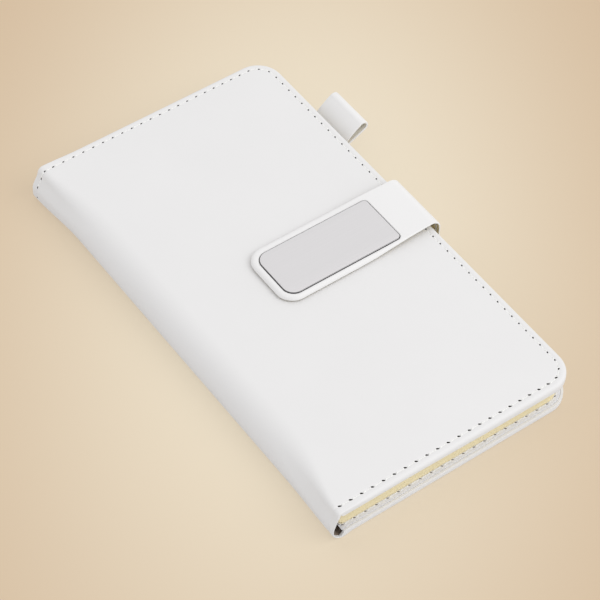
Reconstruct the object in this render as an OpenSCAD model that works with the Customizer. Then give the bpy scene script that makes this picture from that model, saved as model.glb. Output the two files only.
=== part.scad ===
// Clasp diary: padded leather covers round a sewn page block, shut by a strap with a metal plate.
// It lies on its back cover. +X runs from the spine to the fore-edge, +Y to the head, +Z up.

/* [Covers] */
// Width of the shut book, from the spine to the fore-edge
cover_w = 96.6; // [85:0.2:130]
// Length of the book, from head to tail
cover_l = 175; // [150:1:220]
// Thickness of one cover
cover_t = 3; // [2.8:0.1:4]
// Plan radius of the two fore-edge corners of a cover
corner_r = 9.5; // [8:0.5:14]
// Radius that rounds the outer edge of a cover
edge_r = 1.6; // [1:0.1:2.4]
// Thickness of the leather skin
leather_t = 0.9; // [0.6:0.05:1]
// Thickness of the grey board in a cover
board_t = 1.1; // [1:0.05:1.2]
// Thickness of the lining sheet inside a cover
lining_t = 0.4; // [0.2:0.05:0.5]
// Distance of the seam from the edge of a cover
seam_inset = 2.6; // [2:0.1:3.5]
// Width of the seam thread
thread_w = 0.7; // [0.4:0.05:1]
// Depth of the groove that the seam thread lies in
thread_d = 0.3; // [0.2:0.05:0.4]

/* [Spine] */
// Radius of the soft roll from the front cover to the spine
roll_front = 9; // [7:0.25:9.5]
// Radius of the fold from the back cover to the spine
roll_back = 4.5; // [3:0.25:4.5]
// Bare leather between a roll and the board beside it
board_set_back = 1; // [0.5:0.1:3]

/* [Pages] */
// Thickness of the page block between the two linings
block_t = 7.8; // [7.5:0.1:12]
// Number of sewn page sections, an even number
section_count = 8; // [4:2:10]
// Distance that the covers stand out past the pages
page_set_back = 2.6; // [2.5:0.1:4]
// Hollow between the spine leather and the middle of the page block
hollow = 1.7; // [1.4:0.1:3]
// How far the back of the page block is rounded
back_round = 2; // [1.5:0.1:2.4]
// Thickness of the gauze glued over the section folds
mull_t = 0.35; // [0.2:0.05:0.5]
// Thickness of a fly leaf
flyleaf_t = 0.2; // [0.15:0.05:0.3]

/* [Clasp] */
// Width of the strap and its flap
strap_w = 25.4; // [18:0.2:40]
// Thickness of one leather layer of the strap
strap_layer = 0.6; // [0.5:0.05:1]
// Space between the fore-edge and the upright strip of the strap
strap_gap = 2; // [0.6:0.1:2.4]
// Inner radius of the bend at the top of the strip
bend_r = 3.2; // [1.8:0.1:3.6]
// Reach of the flap over the front cover from the fore-edge
flap_reach = 61; // [50:0.5:75]
// Plan radius of the corners at the free end of the flap
flap_r = 7.5; // [5:0.5:9]
// Radius that rounds the upper edge of the flap
flap_edge_r = 1.2; // [0.6:0.1:1.5]
// Height of the flap's underside above the seam of the front cover
flap_lift = 0.4; // [0.2:0.05:0.8]
// Thickness of the stiffener in the flap
core_t = 0.8; // [0.6:0.05:1.2]
// Width of the leather round the stiffener
core_rim = 1.6; // [1.4:0.1:2]
// Length of the slope from the padded part of the flap down to the strap
ramp_l = 4; // [2:0.5:6]
// Length of the metal plate
plate_l = 45.8; // [30:0.2:48]
// Thickness of the metal plate
plate_t = 0.8; // [0.7:0.05:1.4]
// Leather rim between the plate and the edge of the flap
plate_rim = 2.4; // [2.2:0.1:4.5]
// Radius of the plate's corners near the fore-edge
plate_small_r = 1.6; // [1:0.1:3]
// Width of the bevel round the top of the plate
plate_bevel = 0.3; // [0.1:0.05:0.4]
// Radius of the magnets and of the steel keepers below them
magnet_r = 4; // [3:0.25:5]
// Distance from an end of the plate to the middle of the magnet below it
magnet_inset = 10; // [7:0.5:13]
// Thickness of the steel keepers
keeper_t = 0.5; // [0.3:0.05:0.6]
// Length of a leather tab held inside the back cover
tab_l = 18; // [12:1:25]
// Thickness of a leather tab held inside the back cover
tab_t = 0.7; // [0.5:0.05:0.8]

/* [Pen loop] */
// Width of the pen loop along the fore-edge
loop_w = 18.4; // [12:0.2:25]
// Distance from the head to the middle of the pen loop
loop_from_head = 38; // [30:0.5:50]
// How far the pen loop stands out past the fore-edge
loop_reach = 11.4; // [9:0.2:16]
// Outer radius of the loop's round end
loop_end_r = 2.2; // [1.9:0.1:4]
// Thickness of the loop's leather
loop_t = 0.75; // [0.6:0.05:0.8]
// Angle at which the loop rises from the back cover, in degrees
loop_rise = 35; // [25:1:45]
// Distance from the fore-edge to the loop's root
loop_root_in = 1.6; // [1.4:0.05:1.7]

/* [Hidden] */
$fn = 64;
// Clearance between pieces of one assembly
fit = 0.05;
// Clearance between pieces that part company when the book opens
part_gap = 0.1;
// Angle of the slit between the two pieces that meet at a crease
crease_slit = 1;
// Length by which a cut runs clear of the piece that it cuts
overcut = 1;

// Angle of the roll that each piece beside a crease carries
half_fold = (90 - crease_slit) / 2;
x_spine = -(cover_w + loop_reach) / 2;
x_fore = x_spine + cover_w;
book_t = 2 * cover_t + block_t;
front_z = cover_t + block_t;
mid_z = book_t / 2;
padding_t = cover_t - leather_t - board_t - lining_t;
pocket_inset = leather_t + fit;

flyleaf_x = x_spine + leather_t + hollow + back_round;
page_l = cover_l - 2 * page_set_back;
page_x = x_fore - page_set_back;
page_r = corner_r - page_set_back;
section_t = (block_t - 2 * flyleaf_t - 2 * part_gap) / section_count;
half_block = block_t / 2;
round_r = (pow(half_block, 2) + pow(back_round, 2)) / (2 * back_round);
round_x = x_spine + leather_t + hollow + mull_t + fit + round_r;
mull_r = round_r + fit + mull_t;
mull_angle = asin((half_block - flyleaf_t - part_gap) / mull_r);

strap_t = 2 * strap_layer;
tab_z = cover_t - lining_t - tab_t;
low_r = strap_gap + strap_t;
low_z = tab_z + low_r;
flap_z = book_t + flap_lift;
bend_x = x_fore + strap_gap - bend_r;
bend_z = flap_z - bend_r;
top_r = bend_r + strap_t;
flap_x = x_fore - flap_reach;
core_z = flap_z + strap_layer;
cap_t = core_t + strap_layer;
plate_z = core_z + core_t;
plate_w = strap_w - 2 * plate_rim;
plate_x = flap_x + plate_rim;
plate_r = flap_r - plate_rim;
core_end = plate_x + plate_l + plate_rim;
magnet_x = [plate_x + magnet_inset, plate_x + plate_l - magnet_inset];

loop_y = cover_l / 2 - loop_from_head;
loop_root_r = loop_t + fit;
loop_x = x_fore - loop_root_in;
loop_z = cover_t + 2 * part_gap + loop_root_r;
loop_l = (loop_reach + loop_root_in - loop_end_r) / cos(loop_rise);

// Centre of the rounded fold of a section, so that it touches the round back from inside
function fold_x(z) = round_x - sqrt(pow(round_r - section_t / 2, 2) - pow(z - mid_z, 2));
// Underside of a page section, counted from the back cover
function section_z(i) =
    cover_t + flyleaf_t + (i - 1) * section_t + (i > section_count / 2 ? part_gap : 0);

leather_colour = "#efeeec";
inner_colour = "#d9d4cb";
paper_colour = "#eadfbb";
board_colour = "#a39b8e";
metal_colour = "#d3d2d3";

// Tongue in plan from x0 to x1, w wide, with round corners of radius r at x1
module tongue(x0, x1, w, r) {
    translate([x0, -w / 2]) square([x1 - r - x0, w]);
    translate([x0, r - w / 2]) square([x1 - x0, w - 2 * r]);
    for (side = [-1, 1])
        translate([x1 - r, side * (w / 2 - r)]) circle(r);
}

// Carries a profile round three sides of a tongue; its x runs outwards from the corner's centre
module tongue_rim(x0, x1, w, r) {
    straight = w - 2 * r;
    for (side = [0, 1]) mirror([0, side, 0]) {
        translate([x0, straight / 2, 0]) rotate([90, 0, 90]) linear_extrude(x1 - r - x0) children();
        translate([x1 - r, straight / 2, 0]) rotate_extrude(angle = 90) children();
    }
    translate([x1 - r, straight / 2, 0]) rotate([90, 0, 0]) linear_extrude(straight) children();
}

// Strip bent round the Y axis: outer radius r, thickness t, from one angle on through another,
// which is negative for a bend the other way round
module bend(r, t, from, angle, w) {
    rotate([90, 0, 0]) rotate([0, 0, from]) mirror([0, angle < 0 ? 1 : 0, 0])
        rotate_extrude(angle = abs(angle)) translate([r - t, -w / 2]) square([t, w]);
}

// Block of a rectangle in plan, w wide about the middle of the length
module slab(x0, x1, w, z0, z1) {
    translate([x0, -w / 2, z0]) cube([x1 - x0, w, z1 - z0]);
}

// Turns a cover over, so that its outer face lies down
module face_down() {
    translate([0, 0, cover_t]) mirror([0, 0, 1]) children();
}

module front_place() {
    translate([0, 0, front_z]) children();
}

// Profile of a cover's leather at the edge: outer sheet, rounded edge and turned-down wall
module leather_profile() {
    difference() {
        square([corner_r, cover_t]);
        translate([-overcut, -overcut])
            square([corner_r - leather_t + overcut, cover_t - leather_t + overcut]);
        translate([corner_r - edge_r, cover_t - edge_r]) difference() {
            square(edge_r + overcut);
            circle(edge_r);
        }
        translate([corner_r - seam_inset - thread_w / 2, cover_t - thread_d])
            square([thread_w, thread_d + overcut]);
    }
}

// Leather of one cover with its outer face up, and its half of the fold to the spine
module cover_leather(roll) {
    x0 = x_spine + roll;
    tongue_rim(x0, x_fore, cover_l, corner_r) leather_profile();
    slab(x0, x_fore - corner_r, cover_l - 2 * corner_r, cover_t - leather_t, cover_t);
    translate([x0, 0, cover_t - roll])
        bend(roll, leather_t, 90, half_fold, cover_l);
}

// Sheet that fills the pocket of a cover between two heights above the inner face
module cover_sheet(roll, z0, z1) {
    translate([0, 0, z0]) linear_extrude(z1 - z0)
        tongue(x_spine + roll + board_set_back, x_fore - pocket_inset,
               cover_l - 2 * pocket_inset, corner_r - pocket_inset);
}

// Seam thread in its groove, round the three sewn sides
module cover_stitching(roll) {
    tongue_rim(x_spine + roll, x_fore, cover_l, corner_r)
        translate([corner_r - seam_inset - thread_w / 2, cover_t - thread_d])
            square([thread_w, thread_d - fit]);
}

// Space of the clasp's tab, grown by a clearance
module clasp_tab_space(grow) {
    slab(x_fore - tab_l - grow, x_fore + grow, strap_w + 2 * grow, tab_z - grow, tab_z + tab_t + grow);
}

// Space of the pen loop's tab as far as x1: a flat part under the lining and a lip up past its edge
module loop_tab_space(grow, x1) {
    lip_x = loop_x - tab_t / 2;
    w = loop_w + 2 * grow;
    translate([0, loop_y, 0]) {
        slab(lip_x - tab_l - grow, x1, w, tab_z - grow, tab_z + tab_t + grow);
        slab(lip_x - grow, x1, w, tab_z - grow, cover_t + part_gap + grow);
    }
}

module back_leather() {
    color(leather_colour) difference() {
        face_down() cover_leather(roll_back);
        clasp_tab_space(fit);
    }
}

module back_padding() {
    color(inner_colour) face_down() cover_sheet(roll_back, lining_t + board_t, cover_t - leather_t);
}

module back_board() {
    color(board_colour) difference() {
        face_down() cover_sheet(roll_back, lining_t, lining_t + board_t);
        clasp_tab_space(fit);
        loop_tab_space(fit, x_fore);
    }
}

module back_lining() {
    color(inner_colour) difference() {
        face_down() cover_sheet(roll_back, 0, lining_t);
        loop_tab_space(fit, x_fore);
    }
}

module back_stitching() {
    color(leather_colour) face_down() cover_stitching(roll_back);
}

// Tab of the strap inside the back cover, and its half of the lower fold
module clasp_tab() {
    color(leather_colour) {
        clasp_tab_space(0);
        translate([x_fore, 0, low_z])
            bend(low_r, tab_t, -90, half_fold, strap_w);
    }
}

module loop_tab() {
    color(leather_colour) loop_tab_space(0, loop_x + tab_t / 2);
}

module flyleaf(z) {
    color(paper_colour) translate([0, 0, z]) linear_extrude(flyleaf_t)
        tongue(flyleaf_x, page_x, page_l, page_r);
}

module rear_flyleaf() {
    flyleaf(cover_t);
}

module front_flyleaf() {
    flyleaf(front_z - part_gap - flyleaf_t);
}

// Folded section of leaves, round where its leaves are folded and sewn
module page_section(i) {
    z = section_z(i);
    x0 = fold_x(z + section_t / 2);
    color(paper_colour) {
        translate([0, 0, z]) linear_extrude(section_t) tongue(x0, page_x, page_l, page_r);
        translate([x0, 0, z + section_t / 2]) rotate([90, 0, 0])
            cylinder(r = section_t / 2, h = page_l, center = true);
    }
}

// Half of the gauze over the section folds, below or above the middle opening at a height z
module mull(z, angle) {
    color(inner_colour) translate([round_x, 0, z]) bend(mull_r, mull_t, 180, angle, page_l);
}

module rear_mull() {
    mull(mid_z, mull_angle);
}

module front_mull() {
    mull(mid_z + part_gap, -mull_angle);
}

// Spine panel between the two creases: part of each roll and the flat between them
module spine_leather() {
    color(leather_colour) {
        translate([x_spine + roll_back, 0, roll_back])
            bend(roll_back, leather_t, 180, half_fold, cover_l);
        slab(x_spine, x_spine + leather_t, cover_l, roll_back, book_t - roll_front);
        translate([x_spine + roll_front, 0, book_t - roll_front])
            bend(roll_front, leather_t, 180, -half_fold, cover_l);
    }
}

module front_leather() {
    color(leather_colour) front_place() cover_leather(roll_front);
}

module front_padding() {
    color(inner_colour) front_place() cover_sheet(roll_front, lining_t + board_t, cover_t - leather_t);
}

module front_board() {
    color(board_colour) difference() {
        front_place() cover_sheet(roll_front, lining_t, lining_t + board_t);
        keeper_discs(fit);
    }
}

module front_lining() {
    color(inner_colour) front_place() cover_sheet(roll_front, 0, lining_t);
}

module front_stitching() {
    color(leather_colour) front_place() cover_stitching(roll_front);
}

// Steel discs let into the outer face of the front board, below the magnets
module keeper_discs(grow) {
    top = front_z + lining_t + board_t;
    for (x = magnet_x)
        translate([x, 0, top - keeper_t - grow]) cylinder(r = magnet_r + grow, h = keeper_t + 2 * grow);
}

module keepers() {
    color(metal_colour) keeper_discs(0);
}

// One leather layer of the upright strip, from depth d0 to d1 below its outer face
module strip_layer(d0, d1) {
    x1 = x_fore + strap_gap + strap_t - d0;
    translate([x_fore, 0, low_z]) bend(low_r - d0, d1 - d0, 0, -half_fold, strap_w);
    slab(x1 - (d1 - d0), x1, strap_w, low_z, bend_z);
    translate([bend_x, 0, bend_z]) bend(top_r - d0, d1 - d0, 0, half_fold, strap_w);
}

module strip_leather() {
    color(leather_colour) strip_layer(0, strap_layer);
}

module strip_lining() {
    color(inner_colour) strip_layer(strap_layer, strap_t);
}

// The flap's half of the top bend, for one leather layer
module flap_bend(d0, d1) {
    translate([bend_x, 0, bend_z]) bend(top_r - d0, d1 - d0, 90, -half_fold, strap_w);
}

// Shapes of the flap, drawn from a line at its fore-edge end towards the spine
module flap_place(x) {
    translate([x, 0, 0]) mirror([1, 0, 0]) children();
}

// Profile of the flap's cap: flat top, rounded upper edge
module cap_profile() {
    difference() {
        square([flap_r, cap_t]);
        translate([flap_r - flap_edge_r, cap_t - flap_edge_r]) difference() {
            square(flap_edge_r + overcut);
            circle(flap_edge_r);
        }
    }
}

module core_outline(grow) {
    tongue(-grow, core_end - flap_x - core_rim + grow, strap_w - 2 * core_rim + 2 * grow,
           flap_r - core_rim + grow);
}

// Plate in plan: large corners at the flap's free end, small ones at the other
module plate_outline(grow) {
    l = plate_l + 2 * grow;
    w = plate_w + 2 * grow;
    small = plate_small_r + grow;
    translate([plate_x - grow, 0]) {
        intersection() {
            mirror([1, 0]) translate([-l, 0]) tongue(0, l, w, plate_r + grow);
            tongue(0, l, w, small);
        }
    }
}

// Upper leather of the flap: bend, ramp and a cap with a window for the plate
module flap_leather() {
    color(leather_colour) {
        flap_bend(0, strap_layer);
        slab(core_end, bend_x, strap_w, core_z, core_z + strap_layer);
        translate([core_end, strap_w / 2, core_z]) rotate([90, 0, 0]) linear_extrude(strap_w)
            polygon([[0, 0], [ramp_l, 0], [ramp_l, strap_layer], [0, cap_t]]);
        difference() {
            union() {
                flap_place(core_end) translate([0, 0, core_z]) {
                    tongue_rim(0, core_end - flap_x, strap_w, flap_r) cap_profile();
                    slab(0, core_end - flap_x - flap_r, strap_w - 2 * flap_r, 0, cap_t);
                }
            }
            flap_place(core_end) translate([0, 0, core_z - fit]) linear_extrude(core_t + 2 * fit)
                core_outline(fit);
            translate([0, 0, core_z]) linear_extrude(cap_t + overcut) plate_outline(fit);
        }
    }
}

module magnet_discs(grow) {
    for (x = magnet_x)
        translate([x, 0, core_z - grow]) cylinder(r = magnet_r + grow, h = core_t + 2 * grow);
}

module flap_core() {
    color(board_colour) difference() {
        flap_place(core_end) translate([0, 0, core_z]) linear_extrude(core_t) core_outline(0);
        magnet_discs(fit);
    }
}

module flap_magnets() {
    color(metal_colour) magnet_discs(0);
}

module flap_backing() {
    color(inner_colour) {
        flap_bend(strap_layer, strap_t);
        translate([0, 0, flap_z]) linear_extrude(strap_layer)
            flap_place(bend_x) tongue(0, bend_x - flap_x, strap_w, flap_r);
    }
}

// Metal plate with a bevel round its top
module clasp_plate() {
    color(metal_colour) translate([0, 0, plate_z]) hull() {
        linear_extrude(plate_t - plate_bevel) plate_outline(0, $fn = 32);
        linear_extrude(plate_t) plate_outline(-plate_bevel, $fn = 32);
    }
}

// Teardrop between a circle of radius r0 at the origin and one of radius r1 at a distance l
module teardrop(r0, r1, l) {
    hull($fn = 32) {
        circle(r0);
        translate([l, 0]) circle(r1);
    }
}

// Flattened leather loop that rises from its root, open towards head and tail
module pen_loop() {
    color(leather_colour) translate([loop_x, loop_y + loop_w / 2, loop_z])
        rotate([90, 0, 0]) rotate([0, 0, loop_rise]) linear_extrude(loop_w) difference() {
            teardrop(loop_root_r, loop_end_r, loop_l);
            teardrop(loop_root_r - loop_t, loop_end_r - loop_t, loop_l);
        }
}

back_leather();
back_padding();
back_board();
back_lining();
back_stitching();
clasp_tab();
loop_tab();
rear_flyleaf();
rear_mull();
spine_leather();
front_leather();
front_padding();
front_board();
front_lining();
front_stitching();
keepers();
front_flyleaf();
front_mull();
strip_leather();
strip_lining();
flap_leather();
flap_core();
flap_backing();
flap_magnets();
clasp_plate();
pen_loop();
for (i = [1 : section_count])
    page_section(i);
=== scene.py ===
"""Clasp diary: padded white leather covers round sewn cream pages, a pen loop, a strap with a steel plate.

Sizes are in millimetres as in the CAD model, with +X from the spine to the fore-edge, +Y to the head, +Z up.
Soft pieces are worked out in the flat, as they are cut, with a along the piece, y across it and h above its
face, and are then laid along a folded line.
"""
import math

import bpy
import bmesh
import numpy as np
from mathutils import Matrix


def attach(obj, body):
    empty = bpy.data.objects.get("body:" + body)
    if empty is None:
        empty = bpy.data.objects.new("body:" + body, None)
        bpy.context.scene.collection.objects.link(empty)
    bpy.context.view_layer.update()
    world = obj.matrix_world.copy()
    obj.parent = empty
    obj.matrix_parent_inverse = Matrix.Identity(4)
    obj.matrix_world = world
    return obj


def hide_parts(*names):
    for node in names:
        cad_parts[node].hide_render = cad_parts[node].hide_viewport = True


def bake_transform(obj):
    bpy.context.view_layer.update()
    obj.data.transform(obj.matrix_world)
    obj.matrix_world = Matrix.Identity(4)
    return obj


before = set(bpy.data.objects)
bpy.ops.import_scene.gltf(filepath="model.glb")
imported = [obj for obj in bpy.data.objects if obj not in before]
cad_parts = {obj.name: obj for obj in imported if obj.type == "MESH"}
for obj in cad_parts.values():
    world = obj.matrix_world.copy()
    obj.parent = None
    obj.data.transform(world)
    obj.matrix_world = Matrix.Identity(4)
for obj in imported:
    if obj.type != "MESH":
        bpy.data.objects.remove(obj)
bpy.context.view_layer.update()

MM = 0.001
QUARTER = math.pi / 2

# Driving sizes of the CAD model
COVER_W, COVER_L, COVER_T, PAGES_T = 96.6, 175.0, 3.0, 7.8
CORNER_R, LEATHER_T, LINING_T, TAB_T = 9.5, 0.9, 0.4, 0.7
ROLL_FRONT, ROLL_BACK, SEAM_D = 9.0, 4.5, 2.6
PAGE_INSET, HOLLOW, BACK_ROUND, GAUZE_T, FLYLEAF_T, SECTIONS = 2.6, 1.7, 2.0, 0.35, 0.2, 8
STRAP_W, STRAP_LAYER, STRAP_GAP, BEND_R = 25.4, 0.6, 2.0, 3.2
FLAP_REACH, FLAP_LIFT, CAP_RISE = 61.0, 0.4, 0.8
PLATE_L, PLATE_T, PLATE_RIM, PLATE_SMALL_R = 45.8, 0.8, 2.4, 1.6
LOOP_W, LOOP_T, LOOP_OUT, LOOP_FROM_HEAD, LOOP_ROOT_IN, LOOP_END_R = 18.4, 0.75, 11.4, 38.0, 1.6, 2.2
FIT, PART_GAP = 0.05, 0.1

# Sizes that only the scene has, or that are matched closer to the photograph here than in the CAD model
INNER_D, SKIVED = 2.3, 0.5
FLAP_R, PLATE_BIG_R = 6.4, 4.3
LOOP_L, LOOP_RISE, LOOP_TRIM = 13.55, 36.5, 0.5

# Sizes and places that follow from these
X_SPINE = -(COVER_W + LOOP_OUT) / 2
X_FORE = X_SPINE + COVER_W
HALF_L = COVER_L / 2
BOOK_T = 2 * COVER_T + PAGES_T
MID_Z = BOOK_T / 2
SPINE_Z = (ROLL_BACK + BOOK_T - ROLL_FRONT) / 2
FLAT_HALF = HALF_L - CORNER_R - 0.6
PAGE_X, PAGE_HALF, PAGE_R = X_FORE - PAGE_INSET, HALF_L - PAGE_INSET, CORNER_R - PAGE_INSET
SECTION_T = (PAGES_T - 2 * FLYLEAF_T - 2 * PART_GAP) / SECTIONS
ROUND_R = ((PAGES_T / 2) ** 2 + BACK_ROUND ** 2) / (2 * BACK_ROUND)
ROUND_X = X_SPINE + LEATHER_T + HOLLOW + GAUZE_T + FIT + ROUND_R
STRAP_HALF, STRAP_T = STRAP_W / 2, 2 * STRAP_LAYER
STRAP_X = X_FORE + STRAP_GAP + STRAP_T
LOW_R = STRAP_GAP + STRAP_T
LOW_Z = COVER_T - LINING_T - TAB_T + LOW_R
FLAP_X, FLAP_Z = X_FORE - FLAP_REACH, BOOK_T + FLAP_LIFT
TOP_R, BEND_X, BEND_Z = BEND_R + STRAP_T, X_FORE + STRAP_GAP - BEND_R, FLAP_Z - BEND_R
STRIP_Z = (LOW_Z + BEND_Z) / 2
PLATE_X0 = FLAP_X + PLATE_RIM
PLATE_X1, PLATE_HALF = PLATE_X0 + PLATE_L, STRAP_HALF - PLATE_RIM
PLATE_LOW = FLAP_Z + STRAP_LAYER + CAP_RISE
PLATE_TOP = PLATE_LOW + PLATE_T
LOOP_ROOT_R = LOOP_T + FIT
LOOP_X, LOOP_Y = X_FORE - LOOP_ROOT_IN, HALF_L - LOOP_FROM_HEAD
LOOP_Z = COVER_T + 2 * PART_GAP + LOOP_ROOT_R

# Ends of the spine: lean of the front roll in degrees and radius of its fold, radius of the back roll, and
# the flare with the heights between which it sets in
HEAD_FOLD, TAIL_FOLD = (12.5, 2.2), (7.0, 1.2)
HEAD_BACK_R, TAIL_BACK_R = 2.6, 4.0
HEAD_FLARE, TAIL_FLARE = (1.2, -3.0, 1.5), (0.85, 0.0, 5.0)
END_FOOT, END_LOW_R = 0.8, 4.0
# Lengths over which the front roll, the back roll and the flare ease to the ends
FRONT_EASE, BACK_EASE, FLARE_EASE = 40.0, 30.0, 26.0
# Where the flare sets in, by the distance from the spine's face, and fades out, by the height
FLARE_ACROSS, FLARE_TOP = (8.0, 3.0), (11.5, 6.0)

# How far the strap's edges sit askew, and where that and its taper ease in: along the strap, away from the
# plate and away from the strap's middle. Its lining is narrower by a step.
ASKEW, NARROW, EDGE_STEP = 0.55, 0.9, 1.0
TAPER_ALONG, CLEAR_OF_PLATE, CLEAR_OF_MIDDLE = (40, 4), (0.4, 2.3), (1, 11)


# Shapes in the flat

def ease(lo, hi, value):
    """Smooth step from 0 at lo to 1 at hi: 3t^2 - 2t^3 of the clipped share t."""
    t = np.clip((np.asarray(value, float) - lo) / (hi - lo), 0, 1)
    return t * t * (3 - 2 * t)


def by_end(y, head, tail):
    """Values for each y: those of the head where y is positive, those of the tail elsewhere."""
    return [np.where(y > 0, at_head, at_tail) for at_head, at_tail in zip(head, tail)]


def lay(line, a, y, h):
    """Lays points of the flat on a folded line and returns them in millimetres.

    The line starts at a point (x, z) with a heading, and runs on in pieces of a length and a curvature k. On
    a piece the heading grows by k times the length s, so x grows by (sin p1 - sin p0) / k and z by
    (cos p0 - cos p1) / k. A point at a height h stands off by h along the line's left normal times its side.
    A soft line has a function that gives a, y and the pieces anew. The spine flares at its ends.
    """
    (x0, z0), heading, side, pieces, *soft = line
    a, y, h = np.broadcast_arrays(np.asarray(a, float), y, h)
    if soft:
        a, y, pieces = soft[0](a, y)
    x, z, turn = np.full(a.shape, x0), np.full(a.shape, z0), np.full(a.shape, heading)
    begin, angle = 0.0, heading
    for i, (length, k) in enumerate(pieces):
        s = np.clip(a - begin, -np.inf if i == 0 else 0, np.inf if i == len(pieces) - 1 else length)
        if np.any(k):
            x = x + (np.sin(angle + k * s) - np.sin(angle)) / k
            z = z + (np.cos(angle) - np.cos(angle + k * s)) / k
        else:
            x, z = x + s * np.cos(angle), z + s * np.sin(angle)
        turn = turn + k * s
        begin, angle = begin + length, angle + k * length
    x, z = x - side * h * np.sin(turn), z + side * h * np.cos(turn)
    return np.stack([x - spine_flare(x, y, z), y, z], -1)


def length_of(line):
    """Length of a folded line: the sum of its pieces."""
    return sum(length for length, _ in line[3])


def spine_flare(x, y, z):
    """How far the spine stands out at head and tail, most at half its height.

    It is the flare of that end times smooth steps along the spine, across it, up from its foot and down from
    its top.
    """
    out, foot, full = by_end(y, HEAD_FLARE, TAIL_FLARE)
    along = ease(HALF_L - FLARE_EASE, HALF_L, np.abs(y))
    across = ease(*FLARE_ACROSS, x - X_SPINE)
    return out * along * across * ease(foot, full, z) * ease(*FLARE_TOP, z)


def roll_shape(middle, fold):
    """Profile of the front roll, from the middle of the spine up, as pieces of a length and a curvature.

    With middle = 1 it is a quarter circle of the full radius. With 0, at head and tail, where the sewn edge
    holds the leather, it leans in and folds crisply over the board: fold gives that lean in degrees and the
    fold's radius. The straight part between the lower and the upper arc fills the height that is left. Also
    gives the length as far as the full roll's end.
    """
    end_lean, fold_r = fold
    lean = np.radians(end_lean + (45 - end_lean) * middle)
    low_r = END_LOW_R + (ROLL_FRONT - END_LOW_R) * middle
    up_r = fold_r + (ROLL_FRONT - fold_r) * middle
    rise = BOOK_T - SPINE_Z
    foot = END_FOOT + (rise - ROLL_FRONT - END_FOOT) * middle
    slope = (rise - foot - low_r * np.sin(lean) - up_r * (1 - np.sin(lean))) / np.cos(lean)
    reach = low_r * (1 - np.cos(lean)) + slope * np.sin(lean) + up_r * np.cos(lean)
    way = foot + low_r * lean + slope + up_r * (QUARTER - lean) + ROLL_FRONT - reach
    pieces = [(foot, 0), (low_r * lean, -1 / low_r), (slope, 0), (up_r * (QUARTER - lean), -1 / up_r),
              (COVER_W, 0)]
    return pieces, way


FULL_WAY = roll_shape(1.0, HEAD_FOLD)[1]


def soft_roll(a, y):
    """Front roll for each y: full in the middle of the spine, easing to the crisp fold towards its ends."""
    middle = ease(HALF_L, HALF_L - FRONT_EASE, np.abs(y))
    pieces, way = roll_shape(middle, by_end(y, HEAD_FOLD, TAIL_FOLD))
    return np.where(a < FULL_WAY, a * way / FULL_WAY, a - FULL_WAY + way), y, pieces


def soft_back(a, y):
    """Back roll for each y: full in the middle of the spine, easing to a tighter radius towards its ends."""
    tight = np.where(y > 0, HEAD_BACK_R, TAIL_BACK_R)
    r = tight + (ROLL_BACK - tight) * ease(HALF_L, HALF_L - BACK_EASE, np.abs(y))
    way = SPINE_Z - r + r * QUARTER + ROLL_BACK - r
    full = SPINE_Z - ROLL_BACK + ROLL_BACK * QUARTER
    pieces = [(SPINE_Z - r, 0), (r * QUARTER, 1 / r), (COVER_W, 0)]
    return np.where(a < full, a * way / full, a - full + way), y, pieces


def strap_taper(narrow):
    """Strap narrower by this much on each side at the upright strip, with its edges a little askew.

    The middle and the window for the plate keep their place: the shift eases in away from both.
    """
    def soft(a, y):
        away = plate_distance(length_of(FLAP_LINE) + FLAP_X - a, y)
        shift = ASKEW - np.sign(y) * narrow * ease(*TAPER_ALONG, a)
        return a, y + shift * ease(*CLEAR_OF_PLATE, away) * ease(*CLEAR_OF_MIDDLE, np.abs(y)), FLAP_PIECES
    return soft


def plate_distance(x, y):
    """Distance outside the plate's outline: a rectangle with two large and two small round corners."""
    mid, half = (PLATE_X0 + PLATE_X1) / 2, (PLATE_X1 - PLATE_X0) / 2
    r = np.where(x < mid, PLATE_BIG_R, PLATE_SMALL_R)
    u, v = np.abs(x - mid) - half + r, np.abs(y) - PLATE_HALF + r
    return np.hypot(np.maximum(u, 0), np.maximum(v, 0)) + np.minimum(np.maximum(u, v), 0) - r


FRONT_LINE = ((X_SPINE, SPINE_Z), QUARTER, 1,
              [(BOOK_T - ROLL_FRONT - SPINE_Z, 0), (ROLL_FRONT * QUARTER, -1 / ROLL_FRONT),
               (COVER_W - ROLL_FRONT, 0)], soft_roll)
BACK_LINE = ((X_SPINE, SPINE_Z), -QUARTER, -1,
             [(SPINE_Z - ROLL_BACK, 0), (ROLL_BACK * QUARTER, 1 / ROLL_BACK), (COVER_W - ROLL_BACK, 0)],
             soft_back)
# The strap leaves the flap level with its padded top and comes down to its underside by two arcs, at STEP_X
STEP_R, STEP_X = 200.0, 12.0
STEP = math.acos(1 - CAP_RISE / (2 * STEP_R))
STEP_L = 2 * STEP_R * math.sin(STEP)
FLAP_PIECES = [(BEND_Z + CAP_RISE - STRIP_Z, 0), (TOP_R * QUARTER, 1 / TOP_R), (BEND_X - STEP_X - STEP_L, 0),
               (STEP_R * STEP, 1 / STEP_R), (STEP_R * STEP, -1 / STEP_R), (STEP_X - FLAP_X, 0)]
FLAP_LINE = ((STRAP_X, STRIP_Z), QUARTER, -1, FLAP_PIECES)
# The strap's other end goes round the lower bend and into the back cover
ROOT_TAB_L = 17.9
ROOT_LINE = ((STRAP_X, STRIP_Z), -QUARTER, 1,
             [(STRIP_Z - LOW_Z, 0), (LOW_R * QUARTER, -1 / LOW_R), (ROOT_TAB_L, 0)])


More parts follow.
